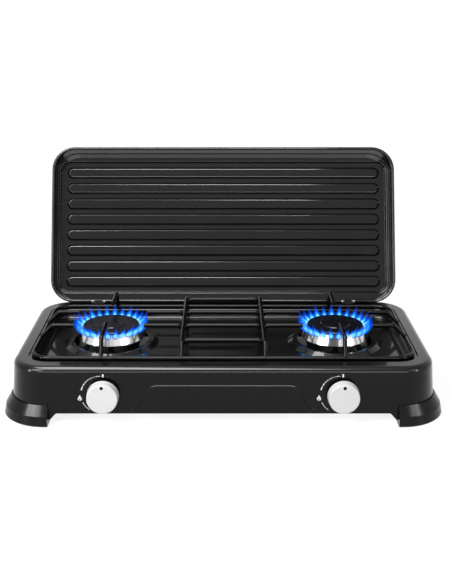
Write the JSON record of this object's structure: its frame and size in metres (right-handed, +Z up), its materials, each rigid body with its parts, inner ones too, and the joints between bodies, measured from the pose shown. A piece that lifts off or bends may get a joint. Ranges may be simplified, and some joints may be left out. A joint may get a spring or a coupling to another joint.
{
  "type": "two-burner gas stove",
  "caption": "Low tabletop gas stove: enamelled tray body on corner feet, round burners under a wire pan support, front push-and-turn knobs and a ribbed lid that folds down over the hob.",
  "frame": {"origin": "on the table, under the middle of the body, in the plane of the four feet", "axes": "+X to the right along the width, -Y to the front with the knobs, +Z up"},
  "size_m": [0.581, 0.3966, 0.3009],
  "materials": {
    "black_enamel": "gloss black enamel on pressed steel",
    "cap_enamel": "satin black enamel",
    "black_wire": "gloss black enamel on steel wire",
    "polished_aluminium": "turned and polished",
    "cast_aluminium": "as cast",
    "zinc_steel": "zinc plated",
    "spring_steel": "drawn wire",
    "brass": "turned",
    "white_plastic": "moulded, light gloss",
    "black_plastic": "moulded, fine satin"
  },
  "bodies": {
    "hob": {"hob_body": "black_enamel", "hinge_bracket_left": "black_enamel", "hinge_bracket_right": "black_enamel", "hinge_pin_left": "black_enamel", "hinge_pin_right": "black_enamel", "hinge_rivets": "black_enamel", "burner_cup_left": "cap_enamel", "burner_cup_right": "cap_enamel", "flame_ring_left": "polished_aluminium", "flame_ring_right": "polished_aluminium", "burner_cap_left": "cap_enamel", "burner_cap_right": "cap_enamel", "venturi_left": "zinc_steel", "venturi_right": "zinc_steel", "injector_left": "brass", "injector_right": "brass", "tap_body_left": "cast_aluminium", "tap_body_right": "cast_aluminium", "tap_cover_left": "zinc_steel", "tap_cover_right": "zinc_steel", "gas_rail": "zinc_steel", "rail_end_plug": "brass", "rail_bracket_left": "zinc_steel", "rail_bracket_right": "zinc_steel", "inlet_nozzle": "brass", "inlet_nut": "brass", "foot_front_left": "black_plastic", "foot_front_right": "black_plastic", "foot_rear_left": "black_plastic", "foot_rear_right": "black_plastic", "foot_screws": "zinc_steel", "burner_studs": "zinc_steel", "burner_nuts": "zinc_steel"},
    "lid": {"lid_shell": "black_enamel", "lid_lug_left": "black_enamel", "lid_lug_right": "black_enamel"},
    "support": {"pan_support": "black_wire"},
    "valve_left": {"tap_plug_left": "brass", "tap_spring_left": "spring_steel"},
    "valve_right": {"tap_plug_right": "brass", "tap_spring_right": "spring_steel"},
    "control_left": {"tap_stem_left": "zinc_steel", "knob_left": "white_plastic"},
    "control_right": {"tap_stem_right": "zinc_steel", "knob_right": "white_plastic"}
  },
  "joints": [
    {"name": "lid_hinge", "type": "hinge", "parent": "hob", "child": "lid", "pos_m": [0, 0.1216, 0.077], "axis": [-1, 0, 0], "range_deg": [-112, 0]},
    {"name": "support_lift", "type": "slide", "parent": "hob", "child": "support", "axis": [0, 0, 1], "range_m": [0, 0.06]},
    {"name": "tap_turn_left", "type": "hinge", "parent": "hob", "child": "valve_left", "pos_m": [-0.153, -0.12, 0.0415], "axis": [0, -1, 0], "range_deg": [0, 150]},
    {"name": "knob_push_left", "type": "slide", "parent": "valve_left", "child": "control_left", "axis": [0, 1, 0], "range_m": [0, 0.0035], "stiffness_N_per_m": 1200, "springref_m": -0.0025, "deforming": ["tap_spring_left"]},
    {"name": "tap_turn_right", "type": "hinge", "parent": "hob", "child": "valve_right", "pos_m": [0.153, -0.12, 0.0415], "axis": [0, -1, 0], "range_deg": [0, 150]},
    {"name": "knob_push_right", "type": "slide", "parent": "valve_right", "child": "control_right", "axis": [0, 1, 0], "range_m": [0, 0.0035], "stiffness_N_per_m": 1200, "springref_m": -0.0025, "deforming": ["tap_spring_right"]}
  ]
}
